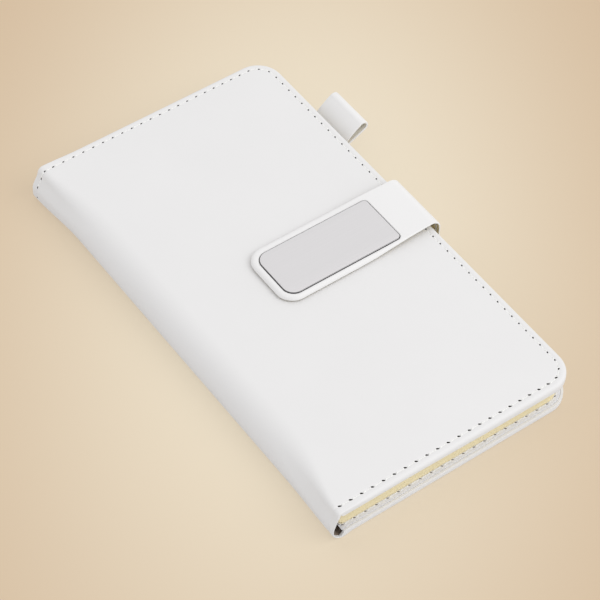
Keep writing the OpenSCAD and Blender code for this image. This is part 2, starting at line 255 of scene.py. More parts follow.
def tongue(length, half, radius, cols, flat_rows, keep=0.0, corner=10):
    """Grid and edge of a tongue in the flat: straight sides from a = 0, round corners at a = length.

    Row by row, y is sampled by angle in the corners and by flat_rows between them, and each row ends on the
    outline: a = length - r + r cos t at y = half - r + r sin t. Columns keep their place as far as keep and
    are stretched to the row's end beyond it. Returns grid(inset), and the edge as points and outward
    normals.
    """
    cols = np.asarray(cols, float)
    t = np.linspace(QUARTER, 0, corner)
    flat = np.asarray(flat_rows, float)
    sine = np.concatenate([-np.sin(t), np.zeros(len(flat)), np.sin(t[::-1])])
    cosine = np.concatenate([np.cos(t), np.ones(len(flat)), np.cos(t[::-1])])
    base = np.concatenate([np.full(corner, radius - half), flat, np.full(corner, half - radius)])

    def grid(inset):
        end = length - radius + (radius - inset) * cosine
        share = np.clip((cols - keep) / (cols[-1] - keep), 0, 1)
        a = np.minimum(cols, keep)[None, :] + share[None, :] * (end - keep)[:, None]
        return a, np.repeat((base + (radius - inset) * sine)[:, None], len(cols), 1)

    a, y = grid(0.0)
    edge = np.concatenate([np.stack([a[0], y[0]], -1), np.stack([a[1:-1, -1], y[1:-1, -1]], -1),
                           np.stack([a[-1, ::-1], y[-1, ::-1]], -1)])
    normal = np.concatenate([np.tile([0.0, -1.0], (len(cols), 1)), np.stack([cosine, sine], -1)[1:-1],
                             np.tile([0.0, 1.0], (len(cols), 1))])
    return grid, edge, normal


def edge_distance(a, y, length, half, radius):
    """Distance in from a tongue's edge: from the arc in its corners, from the nearest side elsewhere."""
    u, v = np.maximum(a - length + radius, 0), np.maximum(np.abs(y) - half + radius, 0)
    d = np.where((u > 0) & (v > 0), radius - np.hypot(u, v), radius - np.maximum(u, v))
    return np.where((u > 0) | (v > 0), d, np.minimum(length - a, half - np.abs(y)))


def shell(line, plan, top, edge_r, floor, top_d, wall=None, small_r=0.3):
    """Closed skin of a tongue: outer panel, rounded edge, wall and inner face, as grids to be joined.

    The profile runs along the top at the insets top_d, round a quarter circle of radius edge_r(a), down to
    floor(a) and round a small radius. With wall = (thickness, inner(a)) it goes up again inside the wall to
    the inner face at that height, otherwise the underside is flat. top(a, y) is the height of the face.
    """
    grid, edge, normal = plan
    a0 = edge[:, :1]
    big, low = edge_r(a0), floor(a0)
    round_t = np.linspace(0, QUARTER, 8)[None, :]
    under_t = np.linspace(0, QUARTER, 4)[None, :]
    ones = np.ones_like(a0)
    d = [ones * np.asarray(top_d)[None, :], top_d[-1] + (big - top_d[-1]) * np.array([[0.4, 0.75]]),
         big * (1 - np.sin(round_t)), small_r * (1 - np.cos(under_t)) * ones]
    drop = [0 * d[0], 0 * d[1], -big * (1 - np.cos(round_t))]
    hang = [low + small_r * (1 - np.sin(under_t))]
    if wall:
        thick, inner = wall
        lip = 0.06
        d.append(np.array([[thick - lip, thick, thick]]) * ones)
        hang.append(np.concatenate([low, low + lip, inner(a0)], 1))
    n_drop = sum(x.shape[1] for x in drop)
    d = np.concatenate(d, 1)
    pts = edge[:, None, :] - d[..., None] * normal[:, None, :]
    h = np.concatenate([top(pts[:, :n_drop, 0], pts[:, :n_drop, 1]) + np.concatenate(drop, 1)] + hang, 1)
    rim = lay(line, pts[..., 0], pts[..., 1], h)
    a, y = grid(top_d[0])
    outer = lay(line, a, y, top(a, y))
    a, y = grid(wall[0] if wall else small_r)
    inner = lay(line, a, y, wall[1](a) if wall else floor(a))
    return [rim, outer, inner]


# Meshes

def grid_faces(rows, cols, first, ring=False):
    """Quads of a grid of rows by cols vertices numbered from first; ring closes it along its columns."""
    i = np.arange(rows * cols).reshape(rows, cols) + first
    if ring:
        i = np.concatenate([i, i[:, :1]], 1)
    return np.stack([i[:-1, :-1], i[1:, :-1], i[1:, 1:], i[:-1, 1:]], -1).reshape(-1, 4)


def piece(name, grids, materials, ring=False, which=None, crease=40, uv=None):
    """Makes one object of grids of points in millimetres: joins doubles, closes open ends, turns faces out.

    which gives the material slot of each grid's faces, uv a grid of (u, v) for each grid.
    """
    count, faces, index, points = 0, [], [], []
    for g, pts in enumerate(grids):
        rows, cols = pts.shape[:2]
        f = grid_faces(rows, cols, count, ring)
        faces.append(f)
        index.append(np.full(len(f), which[g] if which else 0))
        points.append(pts.reshape(-1, 3))
        count += rows * cols
    faces, points = np.concatenate(faces), np.concatenate(points) * MM
    mesh = bpy.data.meshes.new(name)
    mesh.from_pydata(points.tolist(), [], faces.tolist())
    mesh.polygons.foreach_set("material_index", np.concatenate(index).astype(np.int32))
    if uv is not None:
        layer = mesh.uv_layers.new(name="strand")
        flat = np.concatenate([u.reshape(-1, 2) for u in uv])
        layer.data.foreach_set("uv", flat[faces.ravel()].ravel())
    bm = bmesh.new()
    bm.from_mesh(mesh)
    bmesh.ops.remove_doubles(bm, verts=bm.verts, dist=2e-7)
    bmesh.ops.dissolve_degenerate(bm, edges=bm.edges, dist=1e-8)
    bmesh.ops.holes_fill(bm, edges=[e for e in bm.edges if e.is_boundary], sides=0)
    bmesh.ops.recalc_face_normals(bm, faces=bm.faces)
    bm.to_mesh(mesh)
    bm.free()
    mesh.shade_smooth()
    mesh.set_sharp_from_angle(angle=math.radians(crease))
    for m in materials:
        mesh.materials.append(m)
    obj = bpy.data.objects.new(name, mesh)
    bpy.context.scene.collection.objects.link(obj)
    return obj


# Materials

def linear(code):
    """Linear RGBA of an sRGB hex colour: ((c + 0.055) / 1.055)^2.4, or c / 12.92 when dark."""
    c = np.array([int(code[i:i + 2], 16) for i in (1, 3, 5)]) / 255
    c = np.where(c <= 0.04045, c / 12.92, ((c + 0.055) / 1.055) ** 2.4)
    return (*c.tolist(), 1.0)


def add(tree, kind, settings=None, inputs=None):
    """Adds a node to a tree, sets its properties, and sets or links its inputs by name or number."""
    n = tree.nodes.new(kind)
    for key, value in (settings or {}).items():
        setattr(n, key, value)
    for key, value in (inputs or {}).items():
        if isinstance(value, bpy.types.NodeSocket):
            tree.links.new(value, n.inputs[key])
        else:
            n.inputs[key].default_value = value
    return n


def start(name):
    """New material with an empty tree and its Object coordinates in millimetres."""
    m = bpy.data.materials.new(name)
    m.use_nodes = True
    m.node_tree.nodes.clear()
    place = add(m.node_tree, "ShaderNodeTexCoord").outputs["Object"]
    mm = add(m.node_tree, "ShaderNodeMapping", None, {"Vector": place, "Scale": (1000, 1000, 1000)})
    return m, m.node_tree, mm.outputs["Vector"]


def surface(tree, inputs):
    """Principled surface with these inputs, wired to the output."""
    s = add(tree, "ShaderNodeBsdfPrincipled", None, inputs)
    add(tree, "ShaderNodeOutputMaterial", None, {"Surface": s.outputs[0]})


def coated_leather(name, pale, deep, rough, grain_mm, relief_mm):
    """White coated leather, pressed with a fine grain: an even matt white with a faint pebble, soft sheen.

    The grain is drawn a little coarser than the real one, so that it shows at all.
    """
    m, tree, mm = start(name)
    cells = add(tree, "ShaderNodeTexVoronoi", {"feature": "SMOOTH_F1"},
                {"Vector": mm, "Scale": 1 / grain_mm, "Smoothness": 0.6})
    fine = add(tree, "ShaderNodeTexNoise", None, {"Vector": mm, "Scale": 2.2 / grain_mm, "Detail": 3.0})
    both = add(tree, "ShaderNodeMath", {"operation": "MULTIPLY_ADD"},
               {0: fine.outputs[0], 1: 0.5, 2: cells.outputs["Distance"]})
    cloud = add(tree, "ShaderNodeTexNoise", None, {"Vector": mm, "Scale": 1 / 22, "Detail": 2.0})
    tone = add(tree, "ShaderNodeMix", {"data_type": "RGBA"},
               {"Factor": cloud.outputs[0], "A": linear(deep), "B": linear(pale)})
    gloss = add(tree, "ShaderNodeMapRange", None,
                {"Value": cells.outputs["Distance"], "To Min": rough - 0.05, "To Max": rough + 0.07})
    bump = add(tree, "ShaderNodeBump", None,
               {"Strength": 0.5, "Distance": relief_mm * MM, "Height": both.outputs[0]})
    surface(tree, {"Base Color": tone.outputs["Result"], "Roughness": gloss.outputs[0],
                   "Specular IOR Level": 0.35, "Normal": bump.outputs[0]})
    return m


def twisted_thread():
    """Waxed white thread, twisted of three strands: bright, with slanting furrows and little gloss."""
    m, tree, _ = start("twisted_white_thread")
    strand = add(tree, "ShaderNodeUVMap", {"uv_map": "strand"})
    ply = add(tree, "ShaderNodeTexWave", {"bands_direction": "DIAGONAL"},
              {"Vector": strand.outputs[0], "Scale": 0.55, "Distortion": 0.4})
    tone = add(tree, "ShaderNodeMix", {"data_type": "RGBA"},
               {"Factor": ply.outputs["Fac"], "A": linear("#F1F0EE"), "B": linear("#FCFCFA")})
    bump = add(tree, "ShaderNodeBump", None,
               {"Strength": 0.4, "Distance": 0.05 * MM, "Height": ply.outputs["Fac"]})
    surface(tree, {"Base Color": tone.outputs["Result"], "Roughness": 0.6, "Normal": bump.outputs[0]})
    return m


# Dark discs of painted shade for needle holes: the shade inside the hole, with a trace of the raw brown
# fibre of its wall.
def painted_hole_shade(name, deep, pale):
    """Needle hole in leather: no light comes back out, only a trace of the raw brown fibre."""
    m, tree, mm = start(name)
    fibre = add(tree, "ShaderNodeTexNoise", None, {"Vector": mm, "Scale": 4.0})
    tone = add(tree, "ShaderNodeMix", {"data_type": "RGBA"},
               {"Factor": fibre.outputs[0], "A": linear(deep), "B": linear(pale)})
    surface(tree, {"Base Color": tone.outputs["Result"], "Roughness": 0.9, "Specular IOR Level": 0.1})
    return m


def stainless(name, pale, deep, rough, brush_mm, relief_mm):
    """Stainless steel, ground along the plate: fine long lines that spread each reflection across them."""
    m, tree, mm = start(name)
    along = add(tree, "ShaderNodeMapping", None,
                {"Vector": mm, "Scale": (1 / 40, 1 / brush_mm, 1 / brush_mm)})
    lines = add(tree, "ShaderNodeTexNoise", None, {"Vector": along.outputs[0], "Scale": 1.0, "Detail": 3.0})
    tone = add(tree, "ShaderNodeMix", {"data_type": "RGBA"},
               {"Factor": lines.outputs[0], "A": linear(deep), "B": linear(pale)})
    gloss = add(tree, "ShaderNodeMapRange", None,
                {"Value": lines.outputs[0], "To Min": rough - 0.05, "To Max": rough + 0.05})
    bump = add(tree, "ShaderNodeBump", None,
               {"Strength": 0.3, "Distance": relief_mm * MM, "Height": lines.outputs[0]})
    surface(tree, {"Base Color": tone.outputs["Result"], "Metallic": 1.0, "Roughness": gloss.outputs[0],
                   "Normal": bump.outputs[0]})
    return m


def cream_paper():
    """Uncoated cream paper, cut in a block: warm, dull, with fine dark lines between leaves at cut edges.

    A leaf is 0.11 mm thick and the lines are drawn every 0.3 mm, so that they show. The dark lines are
    painted shade of the gaps between leaves.
    """
    m, tree, mm = start("uncoated_cream_paper")
    flat = add(tree, "ShaderNodeMapping", None, {"Vector": mm, "Scale": (1 / 2000, 1 / 2000, 1 / 0.3)})
    leaves = add(tree, "ShaderNodeTexNoise", None, {"Vector": flat.outputs[0], "Scale": 1.0, "Detail": 2.0})
    tooth = add(tree, "ShaderNodeTexNoise", None, {"Vector": mm, "Scale": 3.0, "Detail": 3.0})
    # Painted shade between leaves: darker bands, one every 0.3 mm up the block
    line = add(tree, "ShaderNodeMapRange", None,
               {"Value": leaves.outputs[0], "From Min": 0.35, "From Max": 0.6})
    tone = add(tree, "ShaderNodeMix", {"data_type": "RGBA"},
               {"Factor": line.outputs[0], "A": linear("#EBDDB2"), "B": linear("#F4EACB")})
    bump = add(tree, "ShaderNodeBump", None,
               {"Strength": 0.3, "Distance": 0.02 * MM, "Height": tooth.outputs[0]})
    surface(tree, {"Base Color": tone.outputs["Result"], "Roughness": 0.85, "Specular IOR Level": 0.2,
                   "Normal": bump.outputs[0]})
    return m


def raw_fibre(name, pale, deep, grain_mm, rough):
    """Raw fibre, such as grey board, felt or uncoated leather: dull, with lighter and darker flecks."""
    m, tree, mm = start(name)
    fleck = add(tree, "ShaderNodeTexNoise", None, {"Vector": mm, "Scale": 1 / grain_mm, "Detail": 4.0})
    tone = add(tree, "ShaderNodeMix", {"data_type": "RGBA"},
               {"Factor": fleck.outputs[0], "A": linear(deep), "B": linear(pale)})
    bump = add(tree, "ShaderNodeBump", None,
               {"Strength": 0.5, "Distance": 0.05 * MM, "Height": fleck.outputs[0]})
    surface(tree, {"Base Color": tone.outputs["Result"], "Roughness": rough, "Specular IOR Level": 0.2,
                   "Normal": bump.outputs[0]})
    return m


def book_gauze():
    """Open-weave cotton gauze, glued down: a grid of threads 0.9 mm apart with dull glue between them."""
    m, tree, mm = start("glued_cotton_gauze")
    weft, warp = [add(tree, "ShaderNodeTexWave", {"bands_direction": way},
                      {"Vector": mm, "Scale": 0.35, "Distortion": 0.6}) for way in "YZ"]
    net = add(tree, "ShaderNodeMath", {"operation": "MAXIMUM"},
              {0: weft.outputs["Fac"], 1: warp.outputs["Fac"]})
    tone = add(tree, "ShaderNodeMix", {"data_type": "RGBA"},
               {"Factor": net.outputs[0], "A": linear("#9C9077"), "B": linear("#DAD0B8")})
    bump = add(tree, "ShaderNodeBump", None,
               {"Strength": 0.6, "Distance": 0.1 * MM, "Height": net.outputs[0]})
    surface(tree, {"Base Color": tone.outputs["Result"], "Roughness": 0.9, "Normal": bump.outputs[0]})
    return m


WHITE = coated_leather("white_coated_leather", "#EEEDED", "#EBEAEA", 0.52, 0.45, 0.012)
STRAP = coated_leather("white_strap_leather", "#F3F2F2", "#F0EFEF", 0.5, 0.45, 0.012)
LINING = coated_leather("cool_white_lining_leather", "#EDEEF5", "#E8E9F0", 0.66, 0.6, 0.02)
THREAD = twisted_thread()
# Painted shade of the needle holes: near black in the covers, a paler brown in the lining rows.
NEEDLE_HOLE_SHADE = painted_hole_shade("painted_shade_of_needle_hole", "#14120F", "#3A352F")
LINING_HOLE_SHADE = painted_hole_shade("painted_shade_of_lining_hole", "#4A4036", "#6A5E50")
SATIN = stainless("satin_ground_stainless_steel", "#EFEDEE", "#E9E7E8", 0.42, 0.25, 0.003)
# Steel of the plate's edge, darkened in colour as a painted dark reflection of the surroundings.
DARK_REFLECTION_STEEL = stainless("steel_edge_painted_dark_reflection", "#8C8A8B", "#7C7A7B", 0.16, 0.6, 0.001)
PLAIN = stainless("plain_ground_steel", "#B9B9BA", "#A3A3A5", 0.35, 0.2, 0.004)
PAPER = cream_paper()
BOARD = raw_fibre("grey_binders_board", "#B3AB9E", "#8E8678", 0.8, 0.9)
FELT = raw_fibre("off_white_padding_felt", "#E4DFD5", "#CFC9BC", 0.5, 0.95)
GAUZE = book_gauze()
FLESH = raw_fibre("raw_flesh_side_of_leather", "#DCCFA8", "#C8BB94", 0.25, 0.95)
SUEDE = raw_fibre("pale_flesh_side_of_leather", "#EDE8DD", "#E4DFD2", 0.25, 0.95)
EDGE = raw_fibre("cut_edge_of_leather", "#C4C1BA", "#B0ADA6", 0.25, 0.9)
# Inside of the leather: its raw tan, darkened further as painted shade of the hollow at the spine.
LEATHER_INSIDE_SHADE = raw_fibre("raw_inside_of_leather_with_painted_shade", "#9A8B7D", "#7F7166", 0.3, 0.95)


# Padded covers

# Crown of the padding: its height, how fast it rises inside the seam, and its swell
FRONT_CROWN, BACK_CROWN, CROWN_RUN, SWELL = 0.26, 0.0, 7.0, 0.08
GROOVE_D, GROOVE_W, BACK_SINK = 0.2, 0.42, 0.14
# Steps of the walls and run of the rounder edges, by the length from the middle of the spine
FRONT_WALL, FRONT_EDGE = [(0.6, 4.8, 6.6), (1.1, 8.35, 9.2), (0.8, 30, 80)], (7.7, 23.7)
BACK_WALL, BACK_EDGE = [(1.3, 4.6, 6.0), (1.2, 5.6, 7.0)], (5.6, 10)
# Radius of the edge and depth of the inner face, at the spine and away from it
THIN_EDGE_R, FULL_EDGE_R, THIN_IN, FULL_IN = 0.3, 1.3, 0.55, 0.86


def cover_plan(line):
    """Plan of a cover's leather in the flat, from the middle of the spine to the fore-edge."""
    length = length_of(line)
    roll = line[3][0][0] + line[3][1][0]
    keep = roll + 3
    cols = np.concatenate([np.linspace(0, keep, 34), np.linspace(keep, length - CORNER_R, 40)[1:]])
    rows = np.linspace(-FLAT_HALF, FLAT_HALF, 72)
    return tongue(length, HALF_L, CORNER_R, cols, rows, keep, 14), length, roll


def cover_face(length, roll, crown_h):
    """Height of a cover's outer face: padded crown, seam groove and a slight swell of the leather.

    With d the distance in from the seam, the crown rises by crown_h (1 - e^(-(d / run)^2)), swells by a
    share of its height as the product of two sines, and fades out over the roll. The groove is a bell along
    the seam.
    """
    def face(a, y):
        d = edge_distance(a, y, length, HALF_L, CORNER_R)
        crown = 1 - np.exp(-(np.maximum(d - SEAM_D, 0) / CROWN_RUN) ** 2)
        swell = SWELL * np.sin(a / 9.1 + 0.4) * np.sin(y / 13.7 + 1.1) * ease(6, 14, d)
        groove = -GROOVE_D * np.exp(-((d - SEAM_D) / GROOVE_W) ** 2)
        return crown_h * (crown + swell) * ease(roll - 4, roll + 14, a) + groove
    return face


def cover_skin(name, line, crown_h, wall_steps, edge_run):
    """Leather of a cover with its half of the spine, skived thin there.

    Away from the spine its wall grows by smooth steps, each of a depth between two lengths, and its edge
    gets rounder between the two lengths of edge_run.
    """
    plan, length, roll = cover_plan(line)
    face = cover_face(length, roll, crown_h)
    edge_r = lambda a: THIN_EDGE_R + (FULL_EDGE_R - THIN_EDGE_R) * ease(*edge_run, a)
    floor = lambda a: -SKIVED - sum(deep * ease(lo, hi, a) for deep, lo, hi in wall_steps)
    inner = lambda a: -THIN_IN - (FULL_IN - THIN_IN) * ease(roll + 1, roll + 4, a)
    top_d = [9, 7.6, 6.4, 5.4, 4.6, 4.0, 3.6, 3.3, 3.1, 2.95, 2.8, 2.7, 2.6, 2.5, 2.4, 2.25, 2.1]
    skin = shell(line, plan, face, edge_r, floor, top_d, (LEATHER_T, inner), 0.16)
    # The inner face is the raw inside of the leather, darkened as painted shade of the hollow at the spine.
    return piece(name, skin, [WHITE, LEATHER_INSIDE_SHADE], which=[0, 0, 1])


def seam_run(line, inset):
    """Lengths of a seam along the head, round one corner and down the fore-edge, and its whole length."""
    side, arc, across = length_of(line) - CORNER_R, (CORNER_R - inset) * QUARTER, 2 * (HALF_L - CORNER_R)
    return side, arc, across, 2 * side + 2 * arc + across


def seam_place(line, s, inset):
    """Point and side direction of a seam at the length s from the head end, in the flat.

    It runs along the head at y = half - inset, round an arc of radius r - inset, down the fore-edge, and
    back along the tail.
    """
    side, arc, across, _ = seam_run(line, inset)
    r = CORNER_R - inset
    s1, s2 = np.clip(s, None, side), np.clip(s - side, 0, arc) / r
    s3, s4 = np.clip(s - side - arc, 0, across), np.clip(s - side - arc - across, 0, arc) / r
    s5 = np.maximum(s - side - 2 * arc - across, 0)
    a = s1 + r * np.sin(s2) - r * (1 - np.cos(s4)) - s5
    y = HALF_L - CORNER_R + r * np.cos(s2) - s3 - r * np.sin(s4)
    turn = s2 + s4
    return a, y, np.sin(turn), np.cos(turn)


# Rows of holes as powers of the hole's number, highest power first: x at head and tail, y at the fore-edge
HEAD_ROW, HEAD_COUNT = [-0.01075, 4.0993, -47.817], 21
FORE_ROW, FORE_COUNT = [0.000238, -0.0089, -3.8837, 72.855], 38
TAIL_ROW, TAIL_COUNT = [0.000774, -0.03208, -3.8009, 32.018], 21
SPINE_PITCH, SPINE_COUNT, CORNER_STEPS = 3.5, 3, 5
INNER_START, INNER_PITCH, SEAM_END = 4.41, 4.3, 0.6


def seam_holes(line):
    """Lengths along the seam at which the needle went through.

    A row by hand isn't quite even: along head and tail x, and along the fore-edge y, follow a square or
    cubic of the hole's number. A few even steps lead from the head's row to the spine and round each corner.
    On the front roll, which is longer at head and tail than in the middle, the holes close up by its share.
    """
    length = length_of(line)
    side, arc, _, end = seam_run(line, SEAM_D)

    def close(a, fold):
        if line is not FRONT_LINE:
            return a
        return np.where(a < FULL_WAY, FULL_WAY - (FULL_WAY - a) * FULL_WAY / roll_shape(0.0, fold)[1], a)

    def corner(before, after):
        return np.linspace(before, after, CORNER_STEPS + 1)[1:-1]
    head = length - X_FORE + np.polyval(HEAD_ROW, np.arange(HEAD_COUNT))
    head = np.concatenate([head[0] - SPINE_PITCH * np.arange(SPINE_COUNT, 0, -1), head])
    fore = side + arc + HALF_L - CORNER_R - np.polyval(FORE_ROW, np.arange(FORE_COUNT))
    tail = end - length + X_FORE - np.polyval(TAIL_ROW, np.arange(TAIL_COUNT))
    holes = np.concatenate([close(head, HEAD_FOLD), corner(head[-1], fore[0]), fore,
                            corner(fore[-1], tail[0]), end - close(end - tail, TAIL_FOLD)])
    return holes[(holes > SEAM_END) & (holes < end - SEAM_END)]


def seam(name, line, body_pair, holes, face, inset=SEAM_D, thread_r=0.3, hole=(0.52, 0.32), sink=0.0,
         hole_shade_look=NEEDLE_HOLE_SHADE):
    """Row of stitches and the needle holes between them.

    A stitch is a tube from hole to hole: its centre lies in the groove, plump near its ends and drawn in
    between them, and dives over its last 0.5 mm, where its radius shrinks to nothing. A hole is a dark
    ellipse of painted shade on the face, a hair above it, that leans with the needle: one way at the head,
    the other at the tail.
    """
    shy = 0.3
    s0, s1 = holes[:-1, None] + shy, holes[1:, None] - shy
    t = np.array([0, 0.03, 0.08, 0.16, 0.3, 0.5, 0.7, 0.84, 0.92, 0.97, 1.0])[None, :]
    s = s0 + (s1 - s0) * t
    near = np.minimum(s - s0, s1 - s)
    drawn_in = ease(0.5, 1.5, near)
    plump = 1 - 0.45 * drawn_in
    depth = 0.09 * plump - sink - 0.12 * drawn_in - 0.6 * (1 - ease(0, 0.6, near)) ** 2
    radius = thread_r * plump * np.sqrt(ease(-0.05, 0.4, near)) * (near > 1e-9)
    a, y, na, ny = seam_place(line, s, inset)
    slant = 0.09 * (2 * t - 1)
    around = np.linspace(0, 2 * math.pi, 9)[:-1]
    off = slant[..., None] + radius[..., None] * np.cos(around)
    rise = depth[..., None] + radius[..., None] * np.sin(around)
    fa, fy = a[..., None] + off * na[..., None], y[..., None] + off * ny[..., None]
    tubes = lay(line, fa, fy, face(a, y)[..., None] + rise)
    uv = np.stack(np.broadcast_arrays(s[..., None] * 1.0, around * 0.27 + 0 * fa), -1)
    thread = piece(name + "_thread", list(tubes), [THREAD], ring=True, uv=list(uv))

    # Holes: dark discs of painted shade, laid a hair above the face
    a, y, na, ny = seam_place(line, holes, inset)
    turn = np.linspace(0, 2 * math.pi, 13)[:-1]
    share = np.array([0.0, 0.55, 1.0])
    round_off, lean, small = 0.75 + 0.25 * ny ** 2, 0.3 * ny - 0.15, (0.89 - 0.11 * ny)[:, None, None]
    along = small * hole[0] * share[:, None] * np.cos(turn)[None, :] * round_off[:, None, None]
    across = small * hole[1] * share[:, None] * np.sin(turn)[None, :] + lean[:, None, None] * along
    ha = a[:, None, None] + along * ny[:, None, None] + across * na[:, None, None]
    hy = y[:, None, None] - along * na[:, None, None] + across * ny[:, None, None]
    discs = lay(line, ha, hy, face(ha, hy) + 0.02 - 0.015 * (share[:, None] > 0.9))
    hole_shade_discs = piece(name + "_holes", list(discs), [hole_shade_look], ring=True)
    for obj in (thread, hole_shade_discs):
        body_pair(obj)
    return thread, hole_shade_discs


def front_roll(obj):
    """Bakes the placement of a piece on the front fold, from the spine to the front cover, into its mesh."""
    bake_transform(obj)


def back_roll(obj):
    """Bakes the placement of a piece on the back fold, from the back cover to the spine, into its mesh."""
    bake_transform(obj)


front_skin = cover_skin("front_cover_skin", FRONT_LINE, FRONT_CROWN, FRONT_WALL, FRONT_EDGE)
front_roll(front_skin)
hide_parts("front_leather", "spine_leather")
back_skin = cover_skin("back_cover_skin", BACK_LINE, BACK_CROWN, BACK_WALL, BACK_EDGE)
back_roll(back_skin)
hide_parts("back_leather")

for label, line, crown_h, roll_of, sink, node in (
        ("front_seam", FRONT_LINE, FRONT_CROWN, front_roll, 0.0, "front_stitching"),
        ("back_seam", BACK_LINE, BACK_CROWN, back_roll, BACK_SINK, "back_stitching")):
    _, length, roll = cover_plan(line)
    thread, _ = seam(label, line, roll_of, seam_holes(line), cover_face(length, roll, crown_h), sink=sink)
    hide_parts(node)


# Linings and their inner row of stitches

LINING_INSET, LINING_LOW, LINING_GROOVE_D, LINING_GROOVE_W = 0.95, 0.38, 0.06, 0.35
BACK_LINING_X, FRONT_LINING_X = X_SPINE + 3.8, X_SPINE + ROLL_FRONT + 1


def lining_sheet(name, body, node, x0, z, side):
    """Lining leather glued flat inside a cover from x0 on, with a soft edge and a groove under its stitches.

    Its face is at the height z and looks up where side is 1, down where it is -1. The groove is a bell along
    the stitches.
    """
    line = ((x0, z), 0.0, side, [(X_FORE - x0, 0)])
    length, half, radius = length_of(line) - LINING_INSET, HALF_L - LINING_INSET, CORNER_R - LINING_INSET
    plan = tongue(length, half, radius, np.linspace(0, length - radius, 30),
                  np.linspace(-FLAT_HALF, FLAT_HALF, 60), 0, 12)

    def face(a, y):
        d = edge_distance(a, y, length, half, radius) + LINING_INSET
        return -LINING_GROOVE_D * np.exp(-((d - INNER_D) / LINING_GROOVE_W) ** 2)
    top_d = [4, 2.8, 2.2, 1.9, 1.7, 1.5, 1.3, 1.1, 0.8, 0.5]
    sheet = shell(line, plan, face, lambda a: 0.18 + 0 * a, lambda a: -LINING_LOW + 0 * a, top_d, None, 0.1)
    obj = piece(name, sheet, [LINING])
    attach(obj, body)
    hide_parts(node)
    holes = np.arange(INNER_START, seam_run(line, INNER_D)[3] - SEAM_END, INNER_PITCH)
    seam(name.replace("sheet", "seam"), line, lambda o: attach(o, body), holes, face, INNER_D, 0.2,
         (0.4, 0.2), hole_shade_look=LINING_HOLE_SHADE)


lining_sheet("back_lining_sheet", "back_cover", "back_lining", BACK_LINING_X, COVER_T, 1)
lining_sheet("front_lining_sheet", "front_cover", "front_lining", FRONT_LINING_X, BOOK_T - COVER_T, -1)


# Strap, flap and plate

def upper_bend(obj):
    """Bakes the placement of a piece on the strap's upper fold, from the upright strip to the flap, into its
    mesh.
    """
    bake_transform(obj)


def lower_bend(obj):
    """Bakes the placement of a piece on the strap's lower fold, from the back cover to the upright strip,
    into its mesh.
    """
    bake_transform(obj)


def flap_leather():
    """Upper leather of strap and flap: a padded cap, higher round the plate, with a lip down to it.

    The cap rises by a smooth step along the strap. Towards the plate the lip drops by one steep smooth step
    and rounds off by a longer one.
    """
    length = length_of(FLAP_LINE)
    level_a = length - STEP_X + FLAP_X
    plate_a = level_a + STEP_X - PLATE_X1
    bend_a, dense_a, sparse_a = 12, plate_a - 0.6, plate_a + 2.4
    cols = np.concatenate([np.linspace(0, bend_a, 32), np.linspace(bend_a, dense_a, 24)[1:],
                           np.linspace(dense_a, sparse_a, 40)[1:],
                           np.linspace(sparse_a, length - FLAP_R, 24)[1:]])
    plan = tongue(length, STRAP_HALF, FLAP_R, cols, np.linspace(-5, 5, 16), sparse_a, 22)
    cap = lambda a: ease(level_a - 2 * STEP_R * STEP, level_a, a)

    def face(a, y):
        away = plate_distance(STEP_X + level_a - a, y)
        lip = 0.5 * (1 - ease(0.06, 0.2, away)) + 0.14 * (1 - ease(0.05, 0.5, away))
        return CAP_RISE * cap(a) - lip
    top_d = PLATE_RIM + np.array([1.5, 1.1, 0.8, 0.5, 0.3, 0.15, 0.06, 0.02, -0.02, -0.06, -0.11, -0.18,
                                  -0.27, -0.38, -0.52, -0.7, -0.88])
    skin = shell((*FLAP_LINE, strap_taper(NARROW)), plan, face, lambda a: 0.3 + 1.1 * cap(a),
                 lambda a: 0.02 - STRAP_LAYER + 0 * a, top_d, None, 0.14)
    obj = piece("strap_flap_leather", skin, [STRAP, FLESH], which=[0, 0, 1])
    upper_bend(obj)
    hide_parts("flap_leather", "flap_core", "flap_magnets", "strip_leather")


def strap_layer(name, line, body_pair, length, half, radius, h0, h1, nodes, mid_y=0.0, rim=0):
    """Plain leather layer between the heights h0 and h1 of a folded line, about mid_y, with a raw underside.

    rim is the material of its edge: 0 for coated leather, 2 for a cut edge.
    """
    cols = np.linspace(0, length - radius, 70)
    plan = tongue(length, half, radius, cols, np.linspace(radius - half + 1, half - radius - 1, 16), 0, 10)
    skin = shell(line, plan, lambda a, y: h0 + 0 * a, lambda a: 0.25 + 0 * a, lambda a: h1 + 0 * a,
                 [0.9 * radius, 0.75 * radius, 0.6 * radius, 0.45 * radius], None, 0.15)
    obj = piece(name, [g + [0, mid_y, 0] for g in skin], [STRAP, FLESH, EDGE], which=[rim, 0, 1])
    body_pair(obj)
    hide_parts(*nodes)


LINING_STEP, ROOT_CORNER_R, ROOT_LINING_R = 0.12, 1.2, 1.0
ROOT_LINING_L = STRIP_Z - LOW_Z + LOW_R * QUARTER * 0.97

flap_leather()
strap_layer("strap_flap_lining", (*FLAP_LINE, strap_taper(NARROW + EDGE_STEP)), upper_bend,
            length_of(FLAP_LINE) - LINING_STEP, STRAP_HALF - LINING_STEP, FLAP_R - LINING_STEP,
            -STRAP_LAYER, -2 * STRAP_LAYER, ["flap_backing"], rim=2)
strap_layer("strap_root_leather", ROOT_LINE, lower_bend, length_of(ROOT_LINE), STRAP_HALF - NARROW,
            ROOT_CORNER_R, 0.0, -STRAP_LAYER, ["clasp_tab"], ASKEW)
strap_layer("strap_root_lining", ROOT_LINE, lower_bend, ROOT_LINING_L, STRAP_HALF - NARROW - EDGE_STEP,
            ROOT_LINING_R, -STRAP_LAYER, -2 * STRAP_LAYER, ["strip_lining"], ASKEW, 2)


